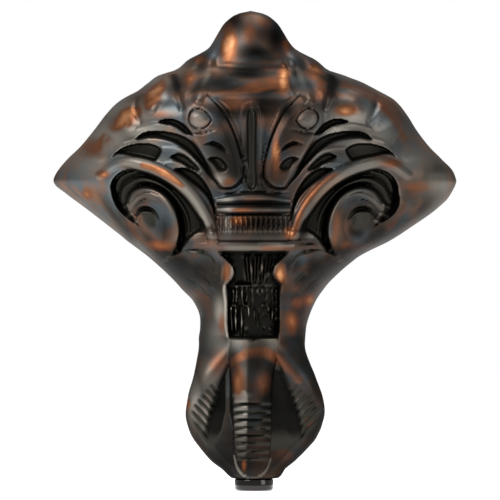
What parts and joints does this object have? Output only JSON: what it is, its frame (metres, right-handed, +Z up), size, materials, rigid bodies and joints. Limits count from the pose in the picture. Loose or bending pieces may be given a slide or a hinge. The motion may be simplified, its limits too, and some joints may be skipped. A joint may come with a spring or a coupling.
{
  "type": "claw and ball foot",
  "caption": "Cast bathtub foot with a three-toed claw gripping a ball, carved wings that cup the tub's underside, and a levelling screw that sets its height.",
  "frame": {"origin": "middle of the levelling screw's lower face, on the floor, with the screw fully in", "axes": "+Z up the foot, -Y out of the carved front, +X to the right of someone who faces the front"},
  "size_m": [0.1492, 0.076, 0.178],
  "materials": {
    "bronze_casting": "dark bronze plate, rubbed back to copper on high places, satin lacquer",
    "nickel_screw": "bright nickel plate on turned steel"
  },
  "bodies": {
    "casting": {"foot_casting": "bronze_casting"},
    "screw": {"levelling_screw": "nickel_screw"}
  },
  "joints": [
    {"name": "screw_travel", "type": "slide", "parent": "casting", "child": "screw", "axis": [0, 0, -1], "range_m": [0, 0.012]}
  ]
}
